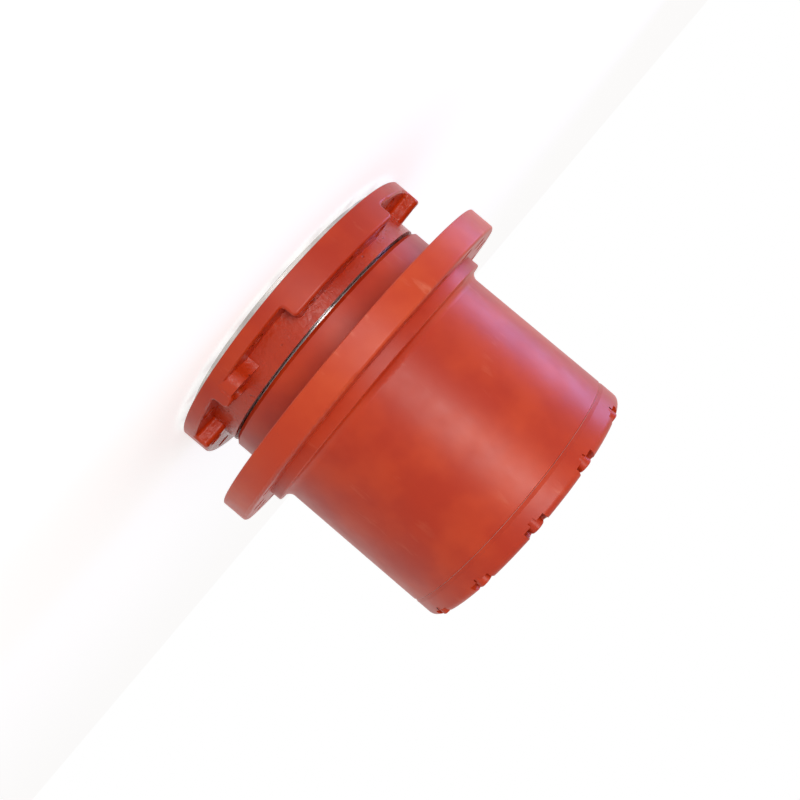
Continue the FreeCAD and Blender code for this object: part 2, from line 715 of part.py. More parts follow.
# ---------------------------------------------------------------- face seal
def make_seal_half(side, direction):
    """One half of the face seal: a metal ring with a lapped lip, and the rubber ring that
    presses it against its partner. The direction is +1 above the seal's plane."""
    lip_face = seal_plane + size["seal_face_gap"] / 2 * direction
    lip_back = lip_face + size["seal_lip_height"] * direction
    tail = lip_back + seal_rubber_radius * 2 * direction
    body = new_body(side + "_seal_ring")
    corners = [(seal_inner, lip_face), (seal_lip, lip_face), (seal_lip, lip_back)]
    corners += [(seal_body, lip_back), (seal_body, tail), (seal_inner, tail)]
    turned(body, "ring", corners)
    rubber = document.addObject("Part::Torus", side + "_seal_rubber")
    rubber.Label = side + "_seal_rubber"
    bind(rubber, "Radius1", seal_body + seal_rubber_radius + size["seal_squeeze"])
    bind(rubber, "Radius2", seal_rubber_radius)
    middle = lip_back + (seal_rubber_radius + size["seal_squeeze"]) * direction
    bind(rubber, "Placement.Base.z", middle)
    nodes.append(rubber)


# ---------------------------------------------------------------- bearings
def make_bearing(side, foot, wide_low):
    """One taper roller bearing: two races, a ring of rollers and their cage. Its raceways
    are widest at the bearing's outer end."""
    top = foot + size["bearing_width"]
    rise = size["race_rise"]
    low_rise = rise if wide_low else rise * 0
    high_rise = rise * 0 if wide_low else rise
    bore = size["nose_radius"] + size["fit_gap"]
    inner = new_body(side + "_inner_race")
    turned(inner, "race", [
        (bore, foot), (inner_raceway + low_rise, foot),
        (inner_raceway + high_rise, top), (bore, top),
    ])
    seat = bearing_outside - size["fit_gap"]
    outer = new_body(side + "_outer_race")
    turned(outer, "race", [
        (outer_raceway + low_rise, foot), (seat, foot),
        (seat, top), (outer_raceway + high_rise, top),
    ])
    make_rollers(side, foot, top, wide_low)


def make_rollers(side, foot, top, wide_low):
    """The ring of rollers, tilted to lie between the raceways, and the cage round them."""
    width = top.value - foot.value
    lean = math.atan2(size["race_rise"].value, width)
    middle_radius = (inner_raceway + outer_raceway + size["race_rise"]).value / 2
    middle = Vector(middle_radius, 0, (foot.value + top.value) / 2)
    along = Vector(-math.sin(lean) if wide_low else math.sin(lean), 0, math.cos(lean))
    length = size["roller_length"].value
    count = int(size["roller_count"].value)

    def ring_of(radius, reach):
        start = middle - along * (reach / 2)
        solids = []
        for number in range(count):
            solid = Part.makeCylinder(radius, reach, start, along)
            solid.rotate(Vector(), Vector(0, 0, 1), 360 * number / count)
            solids.append(solid)
        return solids

    shaped(side + "_rollers", Part.makeCompound(ring_of(size["roller_radius"].value, length)))
    half_wall = size["cage_wall"].value / 2
    half_height = width / 2 - size["side_gap"].value * 2
    shift = along * (half_height / math.cos(lean))
    low = middle - shift
    high = middle + shift
    corners = [low - Vector(half_wall, 0, 0), low + Vector(half_wall, 0, 0)]
    corners += [high + Vector(half_wall, 0, 0), high - Vector(half_wall, 0, 0)]
    band = Part.Face(Part.makePolygon(corners + corners[:1]))
    band = band.revolve(Vector(), Vector(0, 0, 1), 360)
    windows = ring_of(size["roller_radius"].value + size["side_gap"].value,
                      length + size["side_gap"].value)
    shaped(side + "_cage", band.cut(windows))


def make_nut():
    """The slotted nut that sets the bearings."""
    body = new_body("bearing_nut")
    inner = size["nose_radius"] - size["thread_step"] + size["fit_gap"]
    outer = inner + size["nut_width"]
    turned(body, "ring", [
        (inner, bearings_top), (outer, bearings_top), (outer, nut_top - size["bevel"]),
        (outer - size["bevel"], nut_top), (inner, nut_top),
    ])
    sketch = new_sketch(body, "slot_outline", "XY_Plane", nut_top)
    half = size["nut_thickness"] / 3
    depth = outer - size["nut_width"] / 3
    beyond = outer + size["cut_room"]
    draw_outline(sketch, [(depth, -half), (beyond, -half), (beyond, half), (depth, half)])
    slot = pocketed(body, "slot", sketch, size["nut_thickness"] / 2)
    repeated(body, "slots", [slot], size["nut_slots"])


# ---------------------------------------------------------------- drum
def make_drum():
    """The turning casting: seal chamber, bearing seats, sprocket flange with its pilot
    collar, and the long drum over the ring gear."""
    body = new_body("drum")
    lead = size["hub_lead"]
    edge = size["sprocket_edge"]
    fillet = size["collar_fillet"]
    hub_fillet = size["hub_fillet"]
    bevel = size["bevel"]
    room = size["cut_room"]
    seal_roof = seal_plane + size["seal_lip_height"] + size["seal_slack"] + seal_rubber_radius * 2
    lower_rib = lower_bearing + size["bearing_width"]
    rib = bearing_outside - size["rib_step"]
    turned(body, "casting", [
        (seal_chamber, hub_foot), (hub_radius - lead, hub_foot), (hub_radius, hub_foot + lead),
        (hub_radius, sprocket_back - hub_fillet, -hub_fillet),
        (hub_radius + hub_fillet, sprocket_back),
        (sprocket_radius - bevel, sprocket_back), (sprocket_radius, sprocket_back + bevel),
        (sprocket_radius, sprocket_face - edge, edge), (sprocket_radius - edge, sprocket_face),
        (collar_radius, sprocket_face), (collar_radius, collar_top - bevel),
        (collar_radius - bevel, collar_top), (drum_radius + fillet, collar_top, -fillet),
        (drum_radius, collar_top + fillet), (drum_top_radius, seam - bevel),
        (drum_top_radius - bevel, seam), (ring_outside, seam), (ring_outside, ring_foot),
        (ring_outside - size["ring_shoulder"], ring_foot),
        (ring_outside - size["ring_shoulder"], bearings_top),
        (bearing_outside, bearings_top), (bearing_outside, upper_bearing),
        (rib, upper_bearing), (rib, lower_rib), (bearing_outside, lower_rib),
        (bearing_outside, seal_roof), (seal_chamber, seal_roof),
    ])
    drilled(body, "sprocket_holes", sprocket_hole_circle, size["sprocket_hole_radius"],
            sprocket_face + room, size["sprocket_thickness"] + room * 2, size["sprocket_holes"])
    drilled(body, "cover_threads", cover_bolt_circle, size["screw_radius"] + size["fit_gap"],
            seam + room, size["screw_reach"] + size["drill_run"] + room, size["cover_bolts"],
            size["cover_bolt_position"])
    half_step = measure(180) / size["cover_bolts"]
    drilled(body, "dowel_holes", ring_outside, size["dowel_radius"] + size["fit_gap"],
            spigot_foot, size["dowel_length"] + room, size["dowels"],
            size["cover_bolt_position"] + half_step)
    return body


# ---------------------------------------------------------------- gears
def make_ring_gear():
    """The ring gear that both stages share. It is doweled into the drum."""
    top = spigot_foot - size["side_gap"]
    outside = ring_outside - size["fit_gap"]
    height = top.value - ring_foot.value
    blank = Part.makeCylinder(outside.value, height)
    spaces = tooth_outline(ring_teeth.value, DEDENDUM, RING_ADDENDUM,
                           -size["tooth_thinning"].value)
    spaces = Part.Face(spaces).extrude(Vector(0, 0, height))
    spaces.rotate(Vector(), Vector(0, 0, 1), 180 / ring_teeth.value)
    gear = blank.cut(spaces)
    gear.translate(Vector(0, 0, ring_foot.value))
    count = int(size["dowels"].value)
    first = size["cover_bolt_position"].value + 180 / size["cover_bolts"].value
    cuts = []
    for number in range(count):
        angle = math.radians(first + 360 * number / count)
        foot = polar(ring_outside.value, angle)
        foot.z = (top - size["dowel_length"] - size["cut_room"]).value
        radius = size["dowel_radius"].value + size["fit_gap"].value
        depth = (size["dowel_length"] + size["cut_room"] * 2).value
        cuts.append(Part.makeCylinder(radius, depth, foot))
    shaped("ring_gear", gear.cut(cuts))


def make_dowels():
    """Dowels half in the drum and half in the ring gear, which stop the gear from turning."""
    body = new_body("ring_gear_dowels")
    top = spigot_foot - size["side_gap"] * 2
    foot = top - size["dowel_length"]
    turn = size["cover_bolt_position"] + measure(180) / size["cover_bolts"]
    sketch = new_sketch(body, "section", "XY_Plane", foot, turn)
    draw_circle(sketch, ring_outside, size["dowel_radius"])
    dowel = padded(body, "dowel", sketch, size["dowel_length"])
    repeated(body, "set", [dowel], size["dowels"])


def make_planets(stage, teeth, spread, floor, face, pin_radius):
    """The planets of one stage, each with a bush of its own that runs on its pin."""
    bore = pin_radius + size["bush_wall"]
    foot = floor + size["washer_thickness"] + size["side_gap"]
    blank = toothed_bar(teeth.value, face.value)
    gear = blank.cut(Part.makeCylinder(bore.value, face.value))
    bush = Part.makeCylinder(bore.value - size["fit_gap"].value, face.value)
    inner = pin_radius.value + size["running_gap"].value
    bush = bush.cut(Part.makeCylinder(inner, face.value))
    count = int(size["planets"].value)
    for number in range(count):
        direction = 2 * math.pi * number / count
        place = polar(spread.value, direction)
        place.z = foot.value
        turn = planet_turn(direction, teeth.value)
        name = stage + "_planet_" + str(number + 1)
        shaped(name, turned_solid(gear, turn, place))
        shaped(name + "_bush", turned_solid(bush, 0, place))


def make_carrier(name, foot, floor, ceiling, top, spread, teeth, pin_radius, bore):
    """A planet carrier: two plates in one casting, joined between the planets."""
    body = new_body(name)
    bevel = size["wide_bevel"]
    room = size["cut_room"]
    turned(body, "casting", [
        (bore, foot), (carrier_radius - bevel, foot), (carrier_radius, foot + bevel),
        (carrier_radius, top - bevel), (carrier_radius - bevel, top), (bore, top),
    ])
    planet_tip = (teeth + 2 * ADDENDUM) * half_module
    drilled(body, "windows", spread, planet_tip + size["window_gap"], ceiling,
            ceiling - floor, size["planets"])
    drilled(body, "pin_holes", spread, pin_radius + size["fit_gap"], top + room,
            top - foot + room * 2, size["planets"])
    return body


def open_for_sun(body, teeth, floor, top):
    """Open a carrier from its inner plate outwards, wide enough for the sun to slide in."""
    sun_tip = (teeth + 2 * ADDENDUM) * half_module
    drilled(body, "sun_opening", measure(0), sun_tip + size["window_gap"],
            top + size["cut_room"], top - floor + size["cut_room"], 1)


def make_output_carrier():
    """The output carrier stands still: it is screwed to the end of the spindle."""
    bore = size["shaft_passage_radius"]
    body = make_carrier("output_carrier", nose_top, output_floor, output_ceiling, output_top,
                        output_spread, output_planet_teeth, size["output_pin_radius"], bore)
    open_for_sun(body, output_sun_teeth, output_floor, output_top)
    turn = measure(180) / size["carrier_screws"]
    room = size["cut_room"]
    drilled(body, "screw_holes", output_spread, size["screw_radius"] + size["hole_play"],
            output_floor + room, size["output_floor_thickness"] + room * 2,
            size["carrier_screws"], turn)
    drilled(body, "screw_seats", output_spread, size["screw_head_radius"] + size["hole_play"],
            output_floor + room, size["screw_head_height"] + room, size["carrier_screws"], turn)


def make_screws(name, circle, seat, tapped, count, turn):
    """Socket screws that stand on a circle. The seat is the underside of their heads, and
    their threads end a screw's reach below the face that they are tapped into."""
    body = new_body(name)
    thread = circle + size["screw_radius"]
    head = circle + size["screw_head_radius"]
    bevel = size["bevel"]
    top = seat + size["screw_head_height"]
    tail = tapped - size["screw_reach"]
    screw = turned(body, "screw", [
        (circle, tail), (thread - bevel, tail), (thread, tail + bevel), (thread, seat),
        (head, seat), (head, top - bevel), (head - bevel, top), (circle, top),
    ], axis_at=circle)
    socket = hexagon_socket(body, "socket", circle, size["socket_flats"], top,
                            size["socket_depth"])
    repeated(body, "set", [screw, socket], count)
    bind(body, "Placement.Rotation.Angle", turn)


def make_pins(stage, spread, foot, top, floor, ceiling, radius):
    """The planet pins of one stage, their snap rings, and the thrust washers on them."""
    body = new_body(stage + "_planet_pins")
    reach = top + size["pin_stub"]
    groove = radius - size["ring_section"]
    low = top + size["side_gap"]
    high = low + size["ring_section"]
    side = spread + radius
    bevel = size["bevel"]
    edge = bevel / 2
    pin = turned(body, "pin", [
        (spread, foot), (side - bevel, foot), (side, foot + bevel),
        (side, top), (spread + groove, top), (spread + groove, high + size["side_gap"]),
        (side, high + size["side_gap"]), (side, reach - edge), (side - edge, reach),
        (spread, reach),
    ], axis_at=spread)
    repeated(body, "set", [pin], size["planets"])
    standing_rings(stage + "_pin_rings", spread, groove + size["fit_gap"],
                   radius + size["ring_section"], [low], [high], size["planets"])
    thick = size["washer_thickness"]
    standing_rings(stage + "_thrust_washers", spread, radius + size["fit_gap"],
                   radius + size["washer_width"], [floor, ceiling - thick],
                   [floor + thick, ceiling], size["planets"])


def make_output_sun():
    """The output sun. Its boss is fixed in the input carrier, which drives it."""
    foot = output_floor + size["sun_setback"]
    teeth_top = output_ceiling - size["sun_setback"]
    gear = toothed_bar(output_sun_teeth.value, teeth_top.value - foot.value)
    turn = sun_turn(output_sun_teeth.value, output_planet_teeth.value)
    gear = turned_solid(gear, turn, Vector(0, 0, foot.value))
    boss = Part.makeCylinder(sun_boss.value, input_floor.value - teeth_top.value,
                             Vector(0, 0, teeth_top.value))
    gear = gear.fuse(boss)
    length = input_floor.value - foot.value
    gear = gear.cut(Part.makeCylinder(sun_bore.value, length, Vector(0, 0, foot.value)))
    shaped("output_sun", gear.removeSplitter())


def make_input_sun():
    """The input sun with its long shaft, which runs through the output sun to the motor."""
    foot = input_floor + size["washer_thickness"] + size["side_gap"] + size["bevel"]
    top = foot + size["input_face"]
    gear = toothed_bar(input_sun_teeth.value, top.value - foot.value)
    turn = sun_turn(input_sun_teeth.value, input_planet_teeth.value)
    gear = turned_solid(gear, turn, Vector(0, 0, foot.value))
    shaft = Part.makeCylinder(size["shaft_radius"].value, (foot - size["shaft_foot"]).value,
                              Vector(0, 0, size["shaft_foot"].value))
    thrust_foot = spigot_foot - size["side_gap"]
    nose_height = (thrust_foot - size["side_gap"]).value - top.value
    nose = Part.makeCylinder(size["shaft_nose_radius"].value, nose_height,
                             Vector(0, 0, top.value))
    shaped("input_sun_shaft", gear.fuse([shaft, nose]).removeSplitter())


def make_coupling():
    """The splined sleeve that joins the sun shaft to the motor's shaft, and its snap ring."""
    body = new_body("drive_coupling")
    bore = size["shaft_radius"] + size["fit_gap"]
    outer = size["shaft_radius"] + size["coupling_wall"]
    bevel = size["wide_bevel"]
    top = size["shaft_foot"] + size["coupling_grip"]
    foot = top - size["coupling_length"]
    turned(body, "sleeve", [
        (bore, foot), (outer - bevel, foot), (outer, foot + bevel),
        (outer, top - bevel), (outer - bevel, top), (bore, top),
    ])
    sketch = new_sketch(body, "spline_outline", "XY_Plane", size["shaft_foot"])
    half = size["spline_depth"]
    inside = bore - half
    outside = bore + half
    draw_outline(sketch, [(inside, -half), (outside, -half), (outside, half), (inside, half)])
    groove = pocketed(body, "spline", sketch, size["shaft_foot"] - foot + size["cut_room"])
    repeated(body, "splines", [groove], size["spline_count"])
    sleeve("coupling_ring", bore, bore + size["ring_section"] * 2, top + size["fit_gap"],
           top + size["ring_section"])


# ---------------------------------------------------------------- end cover
def make_cover():
    """The end cover: a disc with a spigot in the drum, a hollow over the input carrier,
    a boss for the thrust plate, and a rim notched for the bolts."""
    body = new_body("end_cover")
    rim = drum_top_radius
    edge = size["cover_edge"]
    spigot = ring_outside - size["running_gap"]
    hollow = ring_outside - size["cover_lip"]
    roof = cover_top - size["cover_plate"]
    boss = size["thrust_radius"] + size["boss_wall"]
    seat = size["thrust_radius"] + size["fit_gap"]
    seat_roof = spigot_foot - size["side_gap"] + size["thrust_thickness"]
    boss_foot = seat_roof - size["thrust_seat"]
    bevel = size["cover_bevel_width"]
    seal = size["cover_seal_radius"] * 2
    turned(body, "disc", [
        (0, seat_roof), (seat, seat_roof), (seat, boss_foot), (boss, boss_foot), (boss, roof),
        (hollow, roof), (hollow, spigot_foot), (spigot, spigot_foot),
        (spigot, seam - seal), (spigot - seal, seam - seal), (spigot - seal, seam),
        (rim - bevel, seam), (rim, seam + size["cover_bevel_height"]),
        (rim, cover_top - edge, edge), (rim - edge, cover_top), (0, cover_top),
    ])
    turn = size["cover_bolt_position"]
    floor = cover_top - size["notch_depth"]
    half = size["notch_width"] / 2
    room = size["cut_room"]
    sketch = new_sketch(body, "notch_outline", "XY_Plane", cover_top + room, turn)
    middle = cover_bolt_circle
    draw_outline(sketch, [
        (middle, -half), (rim + room, -half), (rim + room, half), (middle, half, half * 1.001),
    ])
    notch = pocketed(body, "notch", sketch, cover_top + room - floor)
    repeated(body, "notches", [notch], size["cover_bolts"])
    head = size["screw_head_radius"] + size["spot_gap"]
    drilled(body, "spot_faces", middle, head, floor + room, size["spot_depth"] + room,
            size["cover_bolts"], turn)
    drilled(body, "bolt_holes", middle, size["screw_radius"] + size["hole_play"], floor,
            size["cover_thickness"], size["cover_bolts"], turn)
    plug_seat = size["plug_head_height"] + size["plug_washer"]
    drilled(body, "plug_seats", size["plug_circle"], size["plug_head_radius"] + size["spot_gap"],
            cover_top + room, plug_seat + room, size["plugs"], size["plug_position"])
    drilled(body, "plug_holes", size["plug_circle"], size["plug_radius"] + size["fit_gap"],
            cover_top, size["cover_plate"] + room, size["plugs"], size["plug_position"])
    return body


def make_cover_fittings():
    """What the cover carries: thrust plate, rubber ring, plugs and their washers."""
    thrust_foot = spigot_foot - size["side_gap"]
    bevel = size["bevel"]
    body = new_body("thrust_plate")
    turned(body, "disc", [
        (0, thrust_foot), (size["thrust_radius"] - bevel, thrust_foot),
        (size["thrust_radius"], thrust_foot + bevel),
        (size["thrust_radius"], thrust_foot + size["thrust_thickness"]),
        (0, thrust_foot + size["thrust_thickness"]),
    ])
    rubber = document.addObject("Part::Torus", "cover_seal")
    rubber.Label = "cover_seal"
    section = size["cover_seal_radius"] - size["running_gap"]
    bind(rubber, "Radius1", ring_outside - size["running_gap"] - size["cover_seal_radius"])
    bind(rubber, "Radius2", section)
    bind(rubber, "Placement.Base.z", seam - size["cover_seal_radius"])
    nodes.append(rubber)
    circle = size["plug_circle"]
    washer_foot = cover_top - size["plug_head_height"] - size["plug_washer"]
    washers = standing_rings("plug_washers", circle, size["plug_radius"] + size["hole_play"],
                             size["plug_head_radius"], [washer_foot],
                             [washer_foot + size["plug_washer"]], size["plugs"])
    bind(washers, "Placement.Rotation.Angle", size["plug_position"])
    body = new_body("plugs")
    seat = washer_foot + size["plug_washer"]
    foot = seat - size["plug_length"]
    thread = circle + size["plug_radius"]
    head = circle + size["plug_head_radius"]
    plug = turned(body, "plug", [
        (circle, foot), (thread - bevel, foot), (thread, foot + bevel), (thread, seat),
        (head, seat), (head, cover_top - bevel), (head - bevel, cover_top), (circle, cover_top),
    ], axis_at=circle)
    socket = hexagon_socket(body, "socket", circle, size["plug_flats"], cover_top,
                            size["plug_socket"])
    repeated(body, "set", [plug, socket], size["plugs"])
    bind(body, "Placement.Rotation.Angle", size["plug_position"])


# ---------------------------------------------------------------- the whole drive
make_spindle()
make_seal_half("lower", -1)
make_seal_half("upper", 1)
make_bearing("lower", lower_bearing, True)
make_bearing("upper", upper_bearing, False)
sleeve("race_spacer", size["nose_radius"] + size["fit_gap"], inner_raceway,
       lower_bearing + size["bearing_width"], upper_bearing)
make_nut()
make_drum()
make_ring_gear()
make_dowels()
make_output_carrier()
make_screws("carrier_screws", output_spread, output_floor - size["screw_head_height"],
            nose_top, size["carrier_screws"], measure(180) / size["carrier_screws"])
make_pins("output", output_spread, nose_top, output_top, output_floor, output_ceiling,
          size["output_pin_radius"])
make_planets("output", output_planet_teeth, output_spread, output_floor,
             size["output_face"], size["output_pin_radius"])
make_output_sun()
input_carrier = make_carrier("input_carrier", input_foot, input_floor, input_ceiling,
                             input_top, input_spread, input_planet_teeth,
                             size["input_pin_radius"], sun_boss + size["fit_gap"])
open_for_sun(input_carrier, input_sun_teeth, input_floor, input_top)
make_pins("input", input_spread, input_foot, input_top, input_floor, input_ceiling,
          size["input_pin_radius"])
make_planets("input", input_planet_teeth, input_spread, input_floor,
             size["input_face"], size["input_pin_radius"])
make_input_sun()
make_coupling()
output_sun_tip = (output_sun_teeth + 2 * ADDENDUM) * half_module
thrust_ring_outside = output_spread - size["output_pin_radius"] - size["ring_section"] * 2
sleeve("stage_thrust_ring", output_sun_tip + size["window_gap"] * 2, thrust_ring_outside,
       output_top + size["side_gap"], input_foot - size["side_gap"])
make_cover()
make_screws("cover_bolts", cover_bolt_circle,
            cover_top - size["notch_depth"] - size["spot_depth"], seam, size["cover_bolts"],
            size["cover_bolt_position"])
make_cover_fittings()
document.recompute()

for piece in document.Objects:
    if "Invalid" in piece.State or "Error" in piece.State:
        raise RuntimeError(piece.Label + " failed to build")
os.makedirs("parts", exist_ok=True)
for node in nodes:
    shape = node.Shape
    if shape.isNull() or not shape.isValid() or not shape.Solids:
        raise RuntimeError(node.Label + " is not a sound solid")
    shape.exportStep("parts/" + node.Label + ".step")
    print(node.Label, len(shape.Solids), round(shape.Volume))
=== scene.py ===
# %% [markdown]
# # Dressing a travel final drive
# This lesson starts from the imported CAD model of an excavator's travel gearbox and gives it
# its looks: the camera, the studio and the finish of every piece. The shapes are the CAD
# model's own, and nothing here changes them.
#
# Each piece arrives as an object at the origin, in metres, with its place in its mesh.

# %% Load the imported model
import bmesh
import bpy
import json
import math
from mathutils import Matrix, Vector


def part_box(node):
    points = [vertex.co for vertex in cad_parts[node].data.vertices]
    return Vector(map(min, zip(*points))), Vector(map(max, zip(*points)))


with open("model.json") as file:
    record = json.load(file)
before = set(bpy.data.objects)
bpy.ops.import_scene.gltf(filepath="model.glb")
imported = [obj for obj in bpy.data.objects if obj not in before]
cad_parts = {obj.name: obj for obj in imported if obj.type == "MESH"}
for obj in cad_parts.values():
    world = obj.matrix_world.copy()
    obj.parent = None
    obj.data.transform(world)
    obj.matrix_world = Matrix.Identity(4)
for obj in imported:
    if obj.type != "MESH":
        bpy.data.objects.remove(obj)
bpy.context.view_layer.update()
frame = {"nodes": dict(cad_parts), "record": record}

nodes = frame["nodes"]
print("pieces:", len(nodes))

# %% [markdown]
# ## Where things are
# The drive's axis is Z, and it stands on its spigot. Heights and radii that the finishes need
# are read from the pieces' boxes, so they follow the CAD model when its sizes change.

# %% Read heights and radii from the model
def foot(node):
    """The lowest point of a piece."""
    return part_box(node)[0].z


def top(node):
    """The highest point of a piece."""
    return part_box(node)[1].z


def reach(node):
    """The largest radius of a round piece."""
    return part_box(node)[1].y


floor_height = foot("spindle")
cover_top = top("end_cover")
frame_rim = reach("spindle")
sprocket_rim = reach("drum")
drum_top = top("drum")
print("height", round(cover_top - floor_height, 4), "widest radius", round(sprocket_rim, 4))

# %% [markdown]
# ## The camera
# A product shot of a round casting is often taken square to its axis, with the part lying
# across the picture at a slant. Here the camera looks along +Y at the middle of the drive and
# is rolled about its own line of sight. Writing the camera's three directions into its matrix
# is simpler than juggling angles: right, up, and back.

# %% Place the camera
ROLL = math.radians(40.2)
AIM_HEIGHT = 0.163
DISTANCE = 1.1106
LENS_MM = 42.75
SENSOR_MM = 36
NEAREST = 0.01

lens = bpy.data.cameras.new("product_camera")
lens.lens = LENS_MM
lens.sensor_width = SENSOR_MM
lens.clip_start = NEAREST
camera = bpy.data.objects.new("product_camera", lens)
bpy.context.scene.collection.objects.link(camera)
right = Vector((-math.sin(ROLL), 0, math.cos(ROLL)))
up = Vector((-math.cos(ROLL), 0, -math.sin(ROLL)))
back = Vector((0, -1, 0))
spot = Vector((0, -DISTANCE, AIM_HEIGHT))
camera.matrix_world = Matrix([
    (right.x, up.x, back.x, spot.x), (right.y, up.y, back.y, spot.y),
    (right.z, up.z, back.z, spot.z), (0, 0, 0, 1),
])
bpy.context.scene.camera = camera
print("camera at", tuple(round(value, 3) for value in spot))

# %% [markdown]
# ## The colours as they are
# A film-like transform would wash a bright red out towards pink. The plain transform shows
# each paint about as it is written.

# %% Choose the plain view of colours
bpy.context.scene.view_settings.view_transform = "Standard"
bpy.context.scene.view_settings.look = "None"
print("view transform:", bpy.context.scene.view_settings.view_transform)

# %% [markdown]
# ## The studio
# The floor is a wide sheet at the foot of the spigot. Seen or mirrored it glows a little, so
# that it reads as white paper and still shows a soft shadow; where it only lights the part it
# is plain pale paper. The world is white wherever it is seen or mirrored and a gentle grey
# where it only lights the part. `Light Path` tells these rays apart.

# %% Helpers for node trees
def add_node(tree, kind, **sockets):
    """A node of a tree, with some of its input sockets set by name or number."""
    node = tree.nodes.new(kind)
    for name, value in sockets.items():
        node.inputs[name.replace("_", " ")].default_value = value
    return node


def maths(tree, operation, first, second=0.0, clamp=False):
    """A Math node. Either side may be a number or another node's socket."""
    node = tree.nodes.new("ShaderNodeMath")
    node.operation = operation
    node.use_clamp = clamp
    for index, value in enumerate((first, second)):
        if isinstance(value, (int, float)):
            node.inputs[index].default_value = value
        else:
            tree.links.new(value, node.inputs[index])
    return node.outputs[0]


def seen_directly(tree):
    """1 for a ray from the camera, and for a mirrored or refracted one too."""
    path = tree.nodes.new("ShaderNodeLightPath")
    seen = maths(tree, "MAXIMUM", path.outputs["Is Camera Ray"], path.outputs["Is Glossy Ray"])
    return maths(tree, "MAXIMUM", seen, path.outputs["Is Transmission Ray"])

# %% [markdown]
# The room around the part is two backgrounds mixed by the kind of ray. One strength for both
# would either grey the paper or flood the part with light.

# %% Light the world
world = bpy.data.worlds.new("studio")
bpy.context.scene.world = world
world.use_nodes = True
sky = world.node_tree
sky.nodes.clear()
paper = add_node(sky, "ShaderNodeBackground", Color=(1, 1, 1, 1), Strength=1.0)
fill = add_node(sky, "ShaderNodeBackground", Color=(1.0, 0.97, 0.95, 1), Strength=0.42)
blend = add_node(sky, "ShaderNodeMixShader")
output = add_node(sky, "ShaderNodeOutputWorld")
sky.links.new(seen_directly(sky), blend.inputs[0])
sky.links.new(fill.outputs[0], blend.inputs[1])
sky.links.new(paper.outputs[0], blend.inputs[2])
sky.links.new(blend.outputs[0], output.inputs[0])
print("world fill", fill.inputs["Strength"].default_value)

# %% [markdown]
# The floor is one flat sheet a hair below the spigot, so that the two faces never coincide.
# A photographer would use a roll of matt paper.

# %% Lay the floor
FLOOR_HALF = 6
FLOOR_GAP = 0.0002
FLOOR_GREY = 0.82
FLOOR_GLOW = 0.62

sheet = bmesh.new()
bmesh.ops.create_grid(sheet, x_segments=1, y_segments=1, size=FLOOR_HALF)
bmesh.ops.translate(sheet, verts=sheet.verts, vec=(0, 0, floor_height - FLOOR_GAP))
floor_mesh = bpy.data.meshes.new("studio_floor")
sheet.to_mesh(floor_mesh)
sheet.free()
floor = bpy.data.objects.new("studio_floor", floor_mesh)
bpy.context.scene.collection.objects.link(floor)

floor_paper = bpy.data.materials.new("floor_paper")
floor_paper.use_nodes = True
tree = floor_paper.node_tree
tree.nodes.clear()
matt = add_node(tree, "ShaderNodeBsdfDiffuse", Color=(FLOOR_GREY, FLOOR_GREY, FLOOR_GREY, 1))
glow = add_node(tree, "ShaderNodeEmission", Color=(1, 1, 1, 1), Strength=FLOOR_GLOW)
lifted = add_node(tree, "ShaderNodeAddShader")
choice = add_node(tree, "ShaderNodeMixShader")
output = add_node(tree, "ShaderNodeOutputMaterial")
tree.links.new(matt.outputs[0], lifted.inputs[0])
tree.links.new(glow.outputs[0], lifted.inputs[1])
tree.links.new(seen_directly(tree), choice.inputs[0])
tree.links.new(matt.outputs[0], choice.inputs[1])
tree.links.new(lifted.outputs[0], choice.inputs[2])
tree.links.new(choice.outputs[0], output.inputs[0])
floor_mesh.materials.append(floor_paper)
print("floor at", round(floor_height, 4))

# %% [markdown]
# ## The lamps
# Satin paint shows the shape of its light as a soft band along the cylinder. One long soft box
# close to the camera's line gives that band. It reaches below the floor sheet, which blocks
# that part of its light, so little of what arrives comes from below. A faint violet light from
# behind tints one side of the silhouette.

# %% Hang the lamps
def soft_box(name, place, size, power, colour):
    """A rectangular lamp that faces the middle of the drive. Its long side follows Z."""
    lamp = bpy.data.lights.new(name, "AREA")
    lamp.shape = "RECTANGLE"
    lamp.size, lamp.size_y = size
    lamp.energy = power
    lamp.color = colour
    holder = bpy.data.objects.new(name, lamp)
    bpy.context.scene.collection.objects.link(holder)
    away = (Vector(place) - Vector((0, 0, AIM_HEIGHT))).normalized()
    across = Vector((0, 0, 1)).cross(away).normalized()
    along = away.cross(across)
    holder.matrix_world = Matrix([
        (across.x, along.x, away.x, place[0]), (across.y, along.y, away.y, place[1]),
        (across.z, along.z, away.z, place[2]), (0, 0, 0, 1),
    ])


soft_box("key_light", place=(-0.42, -2.0, -0.35), size=(0.75, 2.6), power=62,
         colour=(1.0, 0.95, 0.95))
soft_box("violet_edge", place=(-2.0, 0.55, 0.1), size=(0.9, 1.6), power=30,
         colour=(0.45, 0.42, 1.0))

# %% [markdown]
# ## Effects that several finishes share
# Each effect is a node group with named inputs, built once and then placed in a material with
# its own values. The groups read Object coordinates, so a pattern stays on the metal when the
# drum turns. They put out colours, masks and values; the bump and the shader stay in the
# material.

# %% Helper for a node group
def new_group(name, inputs, outputs):
    """An empty shader group. Inputs are (name, kind, default), outputs are (name, kind)."""
    group = bpy.data.node_groups.new(name, "ShaderNodeTree")
    for label, kind, default in inputs:
        socket = group.interface.new_socket(label, in_out="INPUT", socket_type=kind)
        if default is not None:
            socket.default_value = default
    for label, kind in outputs:
        group.interface.new_socket(label, in_out="OUTPUT", socket_type=kind)
    return group, group.nodes.new("NodeGroupInput"), group.nodes.new("NodeGroupOutput")


